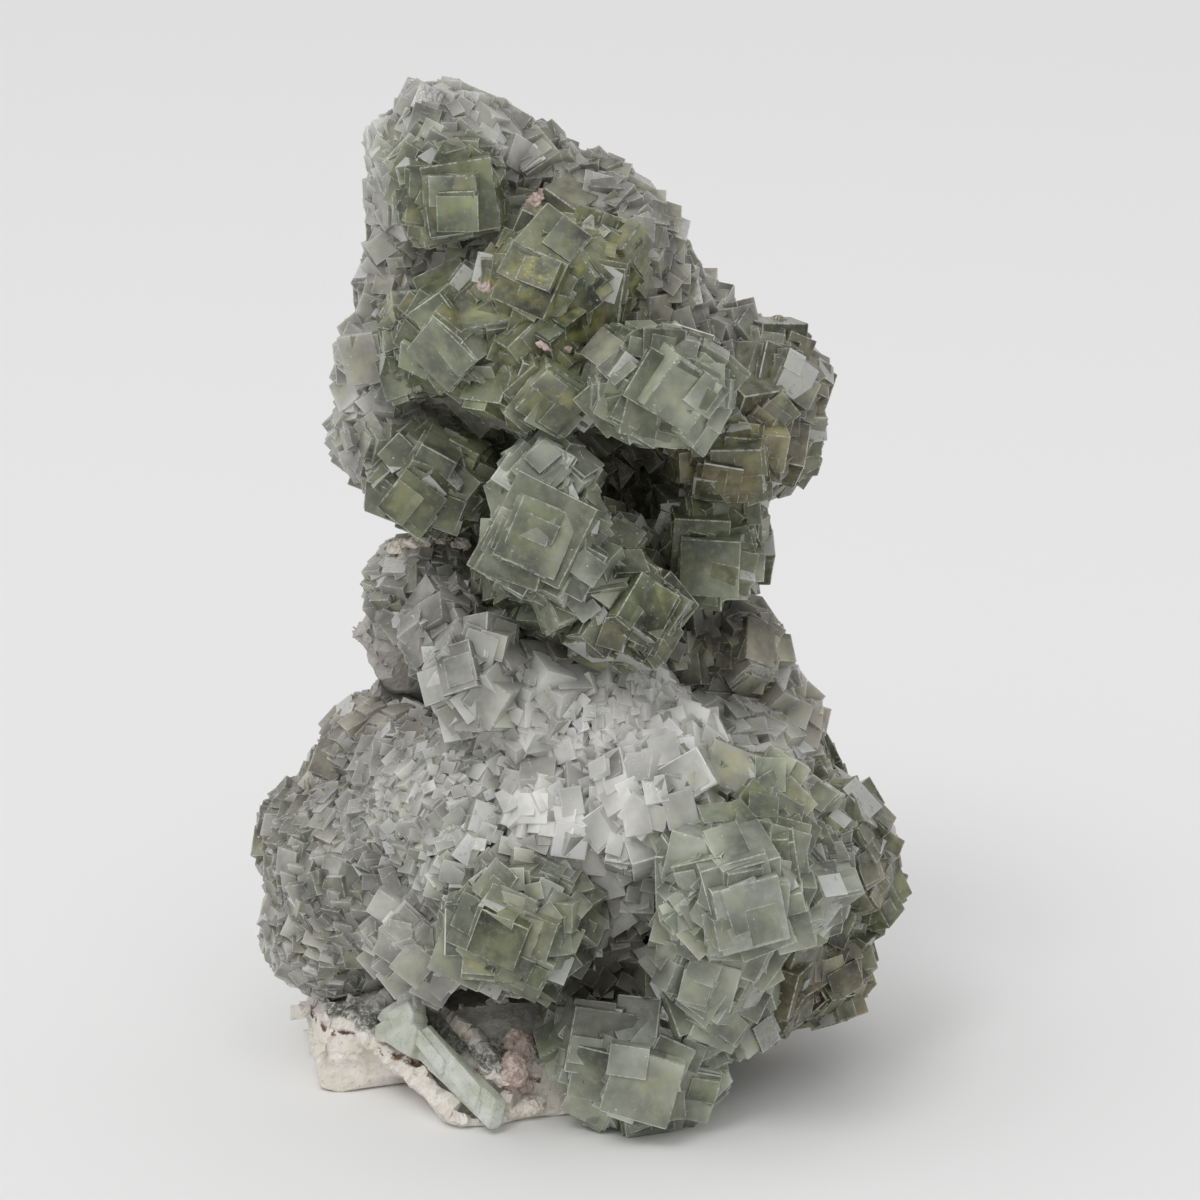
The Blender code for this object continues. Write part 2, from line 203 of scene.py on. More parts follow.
# Crystal cluster
# Knobs: centre x, y, z and half sizes across, deep, up in mm, edges of the big and the fine
# crystals, and the growth zone that colours them.
cluster = {
    "knobs": {
        "headCrown": (-24, 2, 180.5, 10.5, 10, 9.5, 5, 3.2, "frost"),
        "headFront": (-23, -14, 173, 9.5, 9, 9, 8, 4.2, "leaf"),
        "headLeft": (-31, 3, 176, 7.5, 9, 9, 4.6, 3.2, "frost"),
        "headNape": (-12, 9, 173, 10.5, 10, 9.5, 6.2, 4, "lilac"),
        "headBack": (-16, 20, 164, 12, 11, 14, 7.6, 5, "lilac"),
        "upperBody": (-6, 4, 146, 26, 20, 26, 6.4, 4.3, "smoke"),
        "ridgeTop": (2, 7, 165, 11, 10, 11, 5.6, 3.4, "lilac"),
        "ridgeEdge": (10.5, 0, 160, 8.5, 9, 9.5, 6.4, 3.4, "lilac"),
        "ridgeBack": (6, 20, 150, 15, 14, 14, 7.6, 5, "lilac"),
        "leftCheek": (-30, 3, 158, 9, 9, 11, 5.2, 3.4, "lilac"),
        "greenHeart": (-5, -22, 157, 13, 10, 11, 9, 4.8, "honey"),
        "greenLeft": (-19, -19, 148, 12, 10, 10, 8.8, 4.7, "leaf"),
        "leftShoulder": (-34.5, -1, 139.5, 9, 9, 9, 6.4, 3.9, "frost"),
        "leftBack": (-24, 20, 140, 13, 12, 18, 7.6, 5, "smoke"),
        "leftFlank": (-37, 2, 125, 8.5, 10, 10, 6, 3.9, "lilac"),
        "leftHang": (-27, -8, 118, 11, 11, 9.5, 7.2, 4.3, "leaf"),
        "heartLow": (-6, -26, 141, 11, 10, 9, 8, 5.2, "leaf"),
        "rightLobe": (15, -37, 142, 12.5, 10, 10, 8.8, 4.7, "sage"),
        "ridgeSlope": (18, 4, 144.5, 8, 9, 8.5, 5.6, 3.9, "lilac"),
        "rightShoulder": (35, 1, 134, 10, 11, 10.5, 7.2, 4.3, "smoke"),
        "rightShoulderLow": (36, 2, 123, 9.5, 10, 9, 6.4, 4.3, "dusk"),
        "rightBrown": (28, -13, 124, 10, 9, 8.5, 7.6, 4.7, "amber"),
        "rightHang": (24, -13, 106, 10, 9, 9.5, 8.8, 5.2, "leaf"),
        "rightBack": (26, 18, 128, 14, 13, 15, 7.6, 5, "smoke"),
        "waistCore": (2, 10, 108, 22, 20, 26, 7.6, 5, "deep"),
        "waistBack": (22, 22, 98, 14, 12, 18, 7.6, 5, "smoke"),
        "midCrown": (-5, -29, 122, 8, 8, 8, 6.4, 3.9, "mint"),
        "midFace": (-5, -35, 112, 10.5, 9, 10, 9.5, 4.4, "sage"),
        "midRidge": (8, -32, 99, 10.5, 9, 9, 7.6, 4.3, "deep"),
        "midThroat": (0, -15, 101, 17, 14, 14, 6.4, 4.3, "deep"),
        "midLeft": (-28, -1, 94, 11.5, 10, 11, 4.4, 3, "lilac"),
        "midFoot": (-18, -27, 84, 8.5, 9, 10, 7.2, 3.9, "mist"),
        "midRight": (31, 4, 81, 8.5, 10, 9.5, 6.4, 4.3, "smoke"),
        "tanEdge": (39, 10, 65, 8, 9, 8.5, 8.5, 5, "peach"),
        "moundTop": (3, -17, 71, 18, 17, 17.5, 3.2, 2.3, "snow"),
        "moundBack": (23, -5, 58, 20, 18, 17, 5.6, 3.9, "mist"),
        "moundRight": (28, -32, 57, 15, 14, 14, 7.6, 4.3, "leaf"),
        "moundFront": (29, -51, 52, 12.5, 11, 11, 10, 5, "mint"),
        "moundBody": (8, -10, 46, 38, 30, 30, 6, 3.8, "mist"),
        "slopeTop": (-37, 6, 60, 12, 13, 11.5, 4.2, 2.8, "tan"),
        "slopeEdge": (-49.5, 8, 42, 12, 14, 12, 4.8, 3.4, "lilac"),
        "slopeMiddle": (-20, -20, 56, 19, 17, 16, 3.4, 2.4, "mist"),
        "slopeBody": (-28, -4, 40, 31, 24, 21, 4, 2.8, "slate"),
        "greenLow": (-10, -40, 42, 14, 13, 13.5, 7.6, 4.3, "leaf"),
        "lowerLeft": (-44.5, -4, 28, 16, 15, 14, 4.2, 3.1, "frost"),
        "rightLow": (48, -3, 39, 13, 14, 17, 6.4, 4.3, "dusk"),
        "rightLowFoot": (44, -6, 22, 12, 14, 12, 6.4, 4.3, "dusk"),
        "rightLowBack": (36, 22, 44, 16, 15, 20, 7.6, 5, "smoke"),
        "pit": (8, -18, 27, 18, 20, 14, 6.4, 4.3, "deep"),
        "bottomRight": (23, -32, 25, 13, 12, 13, 8.8, 4.7, "mint"),
        "bottomFront": (11, -34, 13.5, 15, 13, 13, 10.4, 5.2, "mint"),
    },
    # how the crystals of a knob are turned as one stack: to the right, upwards, in their own plane
    "turns": {
        "headFront": (5, 0, -8),
        "headCrown": (-20, 25, 15),
        "greenHeart": (-12, 12, 30),
        "greenLeft": (-20, -8, 45),
        "heartLow": (10, -12, 38),
        "leftShoulder": (-30, 10, -20),
        "leftHang": (-15, -10, 35),
        "rightLobe": (15, 5, 32),
        "rightBrown": (10, -5, 8),
        "rightHang": (5, -8, 2),
        "rightShoulder": (30, 15, 25),
        "midCrown": (-10, 25, 30),
        "midFace": (-12, 18, 24),
        "midRidge": (25, 15, 40),
        "moundFront": (8, -5, -15),
        "moundRight": (20, 20, 35),
        "greenLow": (-15, 5, 20),
        "bottomRight": (20, 5, -30),
        "bottomFront": (5, -5, 25),
    },
    # zones: shares of green, yellow, milk and brown
    "zones": {
        "leaf": (0.75, 0.30, 0.25, 0.10),
        "honey": (0.70, 0.85, 0.20, 0.15),
        "mint": (0.65, 0.10, 0.55, 0.05),
        "deep": (0.70, 0.10, 0.05, 0.25),
        "amber": (0.45, 0.60, 0.00, 0.65),
        "frost": (0.18, 0.05, 0.72, 0.08),
        "lilac": (0.12, 0.05, 0.50, 0.20),
        "smoke": (0.25, 0.15, 0.30, 0.45),
        "mist": (0.25, 0.05, 0.70, 0.10),
        "snow": (0.05, 0.00, 1.00, 0.00),
        "sage": (0.65, 0.12, 0.40, 0.10),
        "dusk": (0.40, 0.15, 0.02, 0.60),
        "slate": (0.12, 0.02, 0.20, 0.15),
        "tan": (0.05, 0.15, 0.55, 0.75),
        "peach": (0.00, 0.30, 0.80, 0.80),
    },
    # single crystals that show in the photo: px across and down, edge in mm, then the turns to
    # the right, upwards and in the face's own plane, and how strongly the front face is painted white, as
    # frost and as a painted highlight
    "showCrystals": [
        (460, 197, 13, 4, 2, -8, 0),
        (428, 226, 7, -20, -10, 10, 0),
        (500, 222, 7, 30, -5, 20, 0),
        (395, 135, 5, -35, 20, 15, 0.93),
        (412, 205, 5, -30, 0, 30, 0.93),
        (600, 192, 7, 20, 35, 20, 0.95),
        (640, 232, 6, 30, 20, -15, 0.95),
        (615, 250, 6, 10, 10, 35, 0),
        (540, 290, 10.7, -8, 10, 28, 0),
        (585, 320, 9, 15, 0, 12, 0),
        (480, 400, 10.7, -15, -5, 45, 0),
        (535, 385, 8.2, 5, -12, 20, 0),
        (400, 375, 8, -28, 8, -22, 0.93),
        (490, 270, 5.5, -5, 15, 12, 0.97),
        (430, 265, 7.4, -15, 0, 12, 0),
        (360, 350, 7, -35, 12, 20, 0),
        (430, 470, 9, -12, -15, 30, 0),
        (385, 500, 7.4, -30, -18, 15, 0),
        (660, 385, 9.8, 8, 8, 32, 0),
        (705, 385, 8, 35, 12, 8, 0.94),
        (620, 400, 7.4, -18, 0, 25, 0),
        (775, 365, 7.4, 35, 15, 25, 0),
        (740, 460, 8.2, 12, -5, 8, 0),
        (700, 545, 10.7, 4, -6, 4, 0),
        (540, 530, 16, -10, 16, 24, 0),
        (548, 465, 7.4, -5, 28, 30, 0),
        (600, 575, 9, 20, 10, 38, 0),
        (650, 630, 8.2, 28, 5, 30, 0),
        (480, 650, 7.4, -12, 10, 15, 0),
        (485, 700, 8, -20, 0, 30, 0),
        (410, 716, 5.5, -15, 30, 20, 0.97),
        (485, 820, 6, 30, 20, 28, 0.97),
        (470, 852, 5, 10, 10, 40, 0.97),
        (570, 840, 6.5, 15, 5, 12, 0.97),
        (330, 760, 7, -30, 25, 10, 0.93),
        (690, 720, 7, 15, 30, 25, 0),
        (740, 890, 12.3, 8, -5, -15, 0),
        (690, 860, 8.2, -18, 8, 10, 0),
        (785, 850, 9, 28, 8, 22, 0),
        (520, 930, 8.2, -15, 5, 20, 0),
        (555, 966, 5.5, 10, 15, 25, 0.97),
        (560, 1012, 5.5, 15, -10, 12, 0.97),
        (675, 985, 8, -12, 15, 35, 0.97),
        (650, 1080, 7, 5, -5, 30, 0.97),
        (600, 1075, 10.7, -8, -5, 12, 0),
        (720, 1020, 9.8, 20, 0, 28, 0),
        (820, 735, 7.4, 35, 10, 25, 0.9),
        (860, 880, 7.4, 35, 5, 15, 0),
    ],
    # knobs that run into each other: crystals grow over the valley between them too
    "joined": [
        "headCrown headFront", "headFront headLeft", "headLeft leftCheek", "headCrown headNape",
        "headNape ridgeTop", "ridgeTop ridgeEdge", "ridgeEdge ridgeSlope", "ridgeSlope rightShoulder",
        "headBack headNape", "headBack leftBack", "ridgeBack headBack", "ridgeBack rightBack",
        "greenHeart heartLow", "greenHeart greenLeft", "greenHeart ridgeEdge", "greenLeft heartLow",
        "greenLeft leftShoulder", "leftCheek leftShoulder", "leftShoulder leftFlank", "leftFlank leftHang",
        "rightShoulder rightShoulderLow", "rightShoulder rightBrown", "rightShoulderLow rightBrown",
        "rightBack rightShoulder", "waistBack rightBack", "midCrown midFace", "midFace midRidge",
        "midLeft midFoot", "midFoot moundTop", "tanEdge midRight", "moundTop moundRight",
        "moundTop slopeMiddle", "moundTop slopeBody", "slopeMiddle slopeBody", "slopeMiddle slopeEdge",
        "slopeTop slopeMiddle", "slopeTop slopeEdge", "slopeEdge lowerLeft", "slopeBody lowerLeft",
        "slopeMiddle lowerLeft", "slopeMiddle greenLow", "lowerLeft greenLow", "moundTop greenLow",
        "moundTop moundFront", "moundRight moundFront", "moundRight rightLow", "moundFront rightLow",
        "moundBack rightLowBack", "rightLow rightLowBack", "rightLow rightLowFoot",
        "waistBack moundBack", "waistBack moundTop", "moundFront bottomRight", "bottomRight bottomFront",
        "rightLowFoot bottomRight",
    ],
    "joinSize": 0.9,              # of the lump between two joined knobs, as a share of their own
    # hollows painted dark, as shade with some brown stain: px across and down in the photo, and how many mm
    # the painted shade reaches
    "shadeHollows": [
        (645, 490, 9), (660, 560, 6), (506, 440, 5), (690, 612, 4), (606, 962, 12), (540, 1010, 4),
        (470, 600, 3), (535, 205, 3), (560, 430, 5), (620, 480, 7), (700, 620, 5),
        (740, 620, 4), (500, 1035, 4), (650, 930, 5),
    ],
    "bigStep": 0.88,              # between big crystals, as a share of their edge
    "fineStep": 0.98,
    "bigRise": (0.0, 0.2),        # how far the outer face stands off the knob, as a share of the edge
    "fineRise": (0.0, 0.26),
    "bigReach": 1.0,              # a crystal rooted deeper than this in another knob is left out
    "fineReach": 0.94,
    "bigLean": 0.3,               # how far the crystals lean at random
    "fineLean": 0.42,
    "bigStack": 0.55,             # 1 keeps a knob's crystals parallel, 0 lays each flat on its knob
    "fineStack": 0.3,
    "sizes": (0.6, 1.2),
    "showRise": 0.1,
    "stretch": (0.82, 1.2),       # crystals are seldom quite cubes
    "leadSize": 1.25,             # the crystal that faces the way its stack is turned
    "leadRise": 0.24,
    "twist": 10,                  # degrees
    "zoneBlend": 4,               # how soon one growth zone gives over to the next
    "zoneSpread": 0.09,           # how far single crystals stray from their zone
    "blockSize": (0.42, 0.75),    # intergrown blocks on a big crystal
    "blockShift": (0.25, 0.66),   # from its middle towards its corners
    "blockRise": (-0.07, 0.04),   # from the big crystal's face, as a share of its edge
    "showBlockRise": (-0.13, -0.03),
    "blockSlip": 4,               # degrees
    "blocks": 4,
    "blocksFrom": 6.5,            # mm
    "cleanFrom": 12,              # mm; the largest crystals have no blocks on them
    "chamfer": 0.2,               # mm
    "chamferFrom": 7.5,           # crystals with a shorter edge stay sharp
    "cubeFrom": 9,                # crystals with a longer edge stay cubes
    "coreSize": 0.9,              # the ball under a knob's coat, as a share of the knob
    "searchReach": 9,             # mm round a crystal in which others may cover it
    # valleys between knobs, painted dark as shade with some brown stain: how alike two knobs may face, how
    # that fades, how far out they reach
    "creaseShadeAndStain": {"alike": 0.65, "fade": 0.9, "first": 1.25, "second": 1.3, "soft": 0.3, "hollow": 1.6},
    "waist": 88,                  # mm up, where the upper crystals' piece gives over to the lower
    "rootDepth": 3.6,             # mm that the crystals go into the rock
    "seed": 11,
    "colours": {
        "milk": (0.40, 0.38, 0.375), "paleMilk": (0.62, 0.61, 0.59), "snow": (0.86, 0.85, 0.83),
        "olive": (0.135, 0.135, 0.09), "paleOlive": (0.26, 0.27, 0.20), "leaf": (0.145, 0.185, 0.095),
        "paleLeaf": (0.40, 0.47, 0.34), "glow": (0.48, 0.47, 0.15), "brown": (0.27, 0.20, 0.13),
        "veil": (0.58, 0.58, 0.54), "edge": (0.62, 0.64, 0.55), "creviceShadeAndStain": (0.04, 0.034, 0.024),
        "frost": (0.85, 0.86, 0.84),
    },
}


def depthIn(point, lump):
    # 0 in the middle of a lump and 1 on its surface
    x, y, z, across, deep, up = lump[:6]
    offset = ((point.x - x) / across, (point.y - y) / deep, (point.z - z) / up)
    return math.sqrt(sum(part**2 for part in offset))


def joinKnobs():
    # a lump between each pair of joined knobs, about as thick as the two
    for pair in cluster["joined"]:
        first, second = (cluster["knobs"][name] for name in pair.split())
        middle = [(a + b) / 2 for a, b in zip(first[:8], second[:8])]
        sizes = [value * cluster["joinSize"] for value in middle[3:6]]
        cluster["knobs"][pair] = (*middle[:3], *sizes, *middle[6:8], first[8])


def directions(count):
    golden = math.pi * (3 - math.sqrt(5))
    for step in range(count):
        z = 1 - 2 * (step + 0.5) / count
        ring = math.sqrt(1 - z * z)
        yield Vector((ring * math.cos(golden * step), ring * math.sin(golden * step), z))


def randomUnit(rng):
    return Vector([rng.gauss(0, 1) for _ in range(3)]).normalized()


def turnedAxes(turn):
    # the ways a stack of crystals faces, goes across and goes up
    right, up, roll = (math.radians(angle) for angle in turn)
    turned = Euler((-up, 0, right)).to_matrix() @ Matrix.Rotation(roll, 3, "Y")
    return turned @ Vector((0, -1, 0)), turned @ Vector((1, 0, 0)), turned @ Vector((0, 0, 1))


def stackAxes(name, rng):
    if name in cluster["turns"]:
        return turnedAxes(cluster["turns"][name])
    facing = randomUnit(rng)
    across = facing.cross(randomUnit(rng)).normalized()
    return facing, across, facing.cross(across)


def crystalTurn(outward, axes, stack, lean, twist, rng):
    signed = [axis * sign for axis in axes for sign in (1, -1)]
    nearest = max(signed, key=outward.dot)
    guide = min(axes, key=lambda axis: abs(axis.dot(nearest)))
    slope = Vector([rng.uniform(-1, 1) for _ in range(3)]) * lean
    facing = (nearest * stack + outward * (1 - stack) + slope).normalized()
    across = (guide - facing * guide.dot(facing)).normalized()
    turn = Matrix((across, facing.cross(across), facing)).transposed()
    return facing, turn @ Matrix.Rotation(rng.gauss(0, 1) * math.radians(twist), 3, "Z")


def zoneAt(point):
    # growth zones melt into each other: nearer knobs weigh more
    total, mixed = 0, [0, 0, 0, 0]
    for knob in cluster["knobs"].values():
        weight = math.exp(-cluster["zoneBlend"] * depthIn(point, knob))
        total += weight
        mixed = [old + weight * new for old, new in zip(mixed, cluster["zones"][knob[8]])]
    return [value / total for value in mixed]


def layer(name, kind, rng):
    # one coat of crystals on a knob: "big" or "fine"
    knob = cluster["knobs"][name]
    x, y, z, across, deep, up = knob[:6]
    edge = knob[6] if kind == "big" else knob[7]
    twist = cluster["twist"] if kind == "big" else 90
    radius = (across * deep * up) ** (1 / 3)
    count = max(int(4 * math.pi * radius**2 / (edge * cluster[kind + "Step"]) ** 2), 8)
    axes = stackAxes(name, random.Random(name))
    ways = [(way, rng.uniform(*cluster["sizes"]), rng.uniform(*cluster[kind + "Rise"]))
            for way in directions(count)]
    if name in cluster["turns"] and kind == "big":
        ways.append((axes[0], cluster["leadSize"], cluster["leadRise"]))
    others = [lump for other, lump in cluster["knobs"].items() if other != name]
    for way, share, rise in ways:
        point = Vector((x + way.x * across, y + way.y * deep, z + way.z * up))
        outward = Vector((way.x / across, way.y / deep, way.z / up)).normalized()
        stack, lean = cluster[kind + "Stack"], cluster[kind + "Lean"]
        facing, turn = crystalTurn(outward, axes, stack, lean, twist, rng)
        if any(depthIn(point, lump) < cluster[kind + "Reach"] for lump in others):
            continue
        size = edge * share
        yield point + facing * size * (rise - 0.5), turn, size, 0


def blocksOn(middle, turn, size, rises, rng):
    # smaller crystals grown through the front of a big one, a few degrees off, that break up its outline
    for _ in range(cluster["blocks"]):
        block = size * rng.uniform(*cluster["blockSize"])
        shift = [rng.choice((-1, 1)) * rng.uniform(*cluster["blockShift"]) * (size - block)
                 for _ in range(2)]
        out = (size - block) / 2 + rng.uniform(*rises) * size
        slip = Euler([math.radians(rng.gauss(0, cluster["blockSlip"])) for _ in range(3)]).to_matrix()
        yield middle + turn @ Vector((*shift, out)), turn @ slip, block, 0


def sightLine(across, down):
    # the camera's place and the way it looks through a spot in the photo
    lift = math.radians(cameraSet["elevation"])
    back = Vector((0, -math.cos(lift), math.sin(lift)))
    upward = Vector((0, math.sin(lift), math.cos(lift)))
    aim = Vector(cameraSet["aim"])
    eye = aim + back * cameraSet["distance"]
    half = cameraSet["imageWidth"] / 2
    step = cameraSet["mmPerPixel"]
    seen = aim + Vector((1, 0, 0)) * (across - half) * step + upward * (half - down) * step
    return eye, (seen - eye).normalized()


def photoPoint(across, down):
    # where that line first meets a knob
    eye, ray = sightLine(across, down)
    nearest = None
    for knob in cluster["knobs"].values():
        sizes = Vector(knob[3:6])
        start = Vector([(eye[i] - knob[i]) / sizes[i] for i in range(3)])
        way = Vector([ray[i] / sizes[i] for i in range(3)])
        middle, spread = start.dot(way), way.dot(way)
        inside = middle**2 - spread * (start.dot(start) - 1)
        if inside > 0:
            far = (-middle - math.sqrt(inside)) / spread
            nearest = far if nearest is None else min(nearest, far)
    return eye + ray * nearest if nearest else None


def allCrystals():
    rng = random.Random(cluster["seed"])
    for across, down, edge, right, up, roll, frost in cluster["showCrystals"]:
        point = photoPoint(across, down)
        if point is None:
            continue
        facing, side, top = turnedAxes((right, up, roll))
        turn = Matrix((side, top, facing)).transposed()
        crystal = (point - facing * edge * (0.5 - cluster["showRise"]), turn, edge, frost)
        yield crystal
        blocks = list(blocksOn(*crystal[:3], cluster["showBlockRise"], rng))
        if edge < cluster["cleanFrom"]:
            yield from blocks
    for name in cluster["knobs"]:
        for crystal in layer(name, "big", rng):
            yield crystal
            if crystal[2] > cluster["blocksFrom"]:
                yield from blocksOn(*crystal[:3], cluster["blockRise"], rng)
        yield from layer(name, "fine", rng)


def crystalShape(edge):
    # one cube with worn edges; each face is mapped from 0 to 1
    clearSelection()
    bpy.ops.mesh.primitive_cube_add(size=edge, calc_uvs=False)
    shape = bpy.context.object
    bpy.ops.object.mode_set(mode="EDIT")
    bpy.ops.mesh.select_all(action="SELECT")
    if edge >= cluster["chamferFrom"]:
        bpy.ops.mesh.bevel(offset=cluster["chamfer"], affect="EDGES", segments=1)
    bpy.ops.mesh.normals_make_consistent(inside=False)
    bpy.ops.object.mode_set(mode="OBJECT")
    mesh = shape.data
    facet = mesh.uv_layers.new(name="facet")
    for face in mesh.polygons:
        flat = max(abs(value) for value in face.normal) > 0.99
        keep = [axis for axis in range(3) if abs(face.normal[axis]) < 0.5]
        for loop in face.loop_indices:
            place = mesh.vertices[mesh.loops[loop].vertex_index].co
            facet.data[loop].uv = [place[axis] / edge + 0.5 for axis in keep] if flat else [0, 0]
    bpy.data.objects.remove(shape)
    return mesh


def tag(mesh, name, values):
    made = mesh.attributes.new(name, "FLOAT_COLOR", "FACE")
    made.data.foreach_set("color", np.array(values, np.float32).ravel())


def spans(mesh, lengths):
    # how long each face's two sides are, in mm
    found = []
    for face in mesh.polygons:
        keep = [lengths[axis] for axis in range(3) if abs(face.normal[axis]) < 0.5]
        found.append((keep[0], keep[1], 0, 1) if len(keep) == 2 else (0, 0, 0, 1))
    return found


def inSight(placed):
    # leaves out the crystals that lie wholly inside others or inside the core of a knob
    spots = np.array([spot for spot in itertools.product((-1, 0, 1), repeat=3) if any(spot)])
    middles = np.array([crystal[0] for crystal in placed])
    turns = np.array([crystal[1] for crystal in placed])
    halves = np.array([[crystal[2] / 2] * 3 for crystal in placed])
    knobs = np.array([knob[:6] for knob in cluster["knobs"].values()])
    tree = KDTree(len(placed))
    for count, middle in enumerate(middles):
        tree.insert(middle, count)
    tree.balance()
    reach, kept = cluster["searchReach"], []
    for count, crystal in enumerate(placed):
        points = middles[count] + (spots * halves[count]) @ turns[count].T
        hits = tree.find_range(middles[count], crystal[2] * 0.87 + reach)
        near = [hit[1] for hit in hits if hit[1] != count]
        offsets = points[None, :, :] - middles[near][:, None, :]
        inside = np.abs(np.einsum("npi,nij->npj", offsets, turns[near])) < halves[near][:, None, :]
        covered = inside.all(axis=2).any(axis=0)
        ways = (points[None, :, :] - knobs[:, None, :3]) / knobs[:, None, 3:]
        covered |= ((ways**2).sum(axis=2) < cluster["coreSize"] ** 2 * 0.95).any(axis=0)
        if not covered.all():
            kept.append(crystal)
    return kept


def grow(placed):
    rng = random.Random(cluster["seed"] + 1)
    crystals = bpy.data.collections.new("crystals")
    spread = cluster["zoneSpread"]
    sizes = [round(crystal[2] * 2) / 2 for crystal in placed]     # to the half mm
    shapes = {edge: crystalShape(edge) for edge in sorted(set(sizes))}
    for count, (crystal, edge) in enumerate(zip(placed, sizes)):
        middle, turn, _, frost = crystal
        mesh = shapes[edge].copy()
        stretch = [rng.uniform(*cluster["stretch"]) for _ in range(3)]
        if frost or edge > cluster["cubeFrom"]:
            stretch = [1, 1, 1]
        faces = len(mesh.polygons)
        zone = [min(max(value + rng.gauss(0, spread), 0), 1) for value in zoneAt(middle)]
        tint, heart = rng.random(), rng.random()
        tag(mesh, "zone", [zone] * faces)
        # the second value paints a face white, as frost and painted highlight, where it is over 0.93: a few
        # faces at random, and the front face of each listed crystal that has frost
        grains = [(tint, rng.random() * 0.99, heart, 0) for _ in range(faces)]
        if frost:
            outer = max(range(faces), key=lambda face: mesh.polygons[face].normal.z)
            grains[outer] = (1, frost, heart, 0)
        tag(mesh, "grain", grains)
        tag(mesh, "span", spans(mesh, [edge * part for part in stretch]))
        wide = Matrix.Diagonal(stretch)
        mesh.transform(Matrix.Translation(middle * mm) @ (turn @ wide * mm).to_4x4())
        crystals.objects.link(bpy.data.objects.new(f"crystal{count}", mesh))
    for shape in shapes.values():
        bpy.data.meshes.remove(shape)
    return crystals


def addCore(knob):
    # the ball of crystal under a knob's coat, seen only at the bottom of the crevices, where the fluorite
    # paints it near-black as shade
    clearSelection()
    x, y, z, across, deep, up = (value * mm for value in knob[:6])
    fine = 4 if max(across, deep, up) > 0.02 else 3
    bpy.ops.mesh.primitive_ico_sphere_add(subdivisions=fine, radius=cluster["coreSize"], calc_uvs=False,
                                          location=(x, y, z), scale=(across, deep, up))
    core = bpy.context.object
    settle(core)
    faces = len(core.data.polygons)
    core.data.uv_layers.new(name="facet")
    tag(core.data, "zone", [zoneAt(Vector(knob[:3]))] * faces)
    tag(core.data, "grain", [(0.5, 0.5, 0, 1)] * faces)
    tag(core.data, "span", [(0, 0, 0, 1)] * faces)
    return core


def boolean(piece, operation, other):
    step = piece.modifiers.new(operation.lower(), "BOOLEAN")
    step.operation = operation
    step.solver = "MANIFOLD"      # thousands of crystals would take the exact solver minutes
    if isinstance(other, bpy.types.Collection):
        step.operand_type = "COLLECTION"
        step.collection = other
    else:
        step.object = other


def copyNode(name, swell):
    # a welded copy of a CAD node, swollen or shrunk all round
    node = frame["nodes"][name]
    copy = bpy.data.objects.new(name + "Copy", node.data.copy())
    bpy.context.scene.collection.objects.link(copy)
    copy.matrix_world = node.matrix_world
    settle(copy)
    bpy.ops.object.mode_set(mode="EDIT")
    bpy.ops.mesh.select_all(action="SELECT")
    bpy.ops.mesh.remove_doubles(threshold=weldGap)
    bpy.ops.object.mode_set(mode="OBJECT")
    copy.data.materials.clear()
    if swell:
        step = copy.modifiers.new("swell", "DISPLACE")
        step.strength = swell * mm
        step.mid_level = 0
        applyModifiers(copy)
    return copy


def markCreases(piece):
    # how deep each point lies in the valley between two knobs that face different ways, or how near it lies
    # to a shaded hollow; the fluorite paints this as dark shade with some brown stain
    mesh = piece.data
    places = np.empty(len(mesh.vertices) * 3)
    mesh.vertices.foreach_get("co", places)
    places = places.reshape(-1, 3) / mm
    knobs = np.array([knob[:6] for knob in cluster["knobs"].values()])
    depths = np.stack([np.sqrt((((places - knob[:3]) / knob[3:]) ** 2).sum(axis=1)) for knob in knobs])
    order = np.argsort(depths, axis=0)
    first, second = (np.take_along_axis(depths, order[rank:rank + 1], 0)[0] for rank in (0, 1))
    slopes = [(places - knobs[order[rank], :3]) / knobs[order[rank], 3:] ** 2 for rank in (0, 1)]
    slopes = [slope / np.linalg.norm(slope, axis=1)[:, None] for slope in slopes]
    creaseShadeAndStain = cluster["creaseShadeAndStain"]
    deep = np.clip((creaseShadeAndStain["alike"] - (slopes[0] * slopes[1]).sum(axis=1)) / creaseShadeAndStain["fade"], 0, 1)
    for depth, edge in ((first, creaseShadeAndStain["first"]), (second, creaseShadeAndStain["second"])):
        deep *= np.clip((edge - depth) / creaseShadeAndStain["soft"], 0, 1)
    for across, down, reach in cluster["shadeHollows"]:
        spot = photoPoint(across, down)
        if spot:
            far = np.linalg.norm(places - np.array(spot), axis=1)
            deep = np.maximum(deep, np.clip(creaseShadeAndStain["hollow"] - far / reach, 0, 1))
    made = mesh.attributes.new("creaseShadeAndStain", "FLOAT", "POINT")
    made.data.foreach_set("value", deep.astype(np.float32))


def buildPiece(name, knobs, placed, cutters):
    cores = [addCore(knob) for knob in knobs]
    piece = cores[0]
    piece.name = name
    crystals = grow(placed)
    for core in cores[1:]:
        for holder in list(core.users_collection):
            holder.objects.unlink(core)
        crystals.objects.link(core)
    boolean(piece, "UNION", crystals)
    for cutter in cutters:
        boolean(piece, "DIFFERENCE", cutter)
    applyModifiers(piece)
    for helper in list(crystals.objects):
        bpy.data.objects.remove(helper)
    bpy.data.collections.remove(crystals)
    markCreases(piece)
    piece.data.calc_loop_triangles()
    print(name, "crystals:", len(placed), "triangles:", len(piece.data.loop_triangles))
    return piece


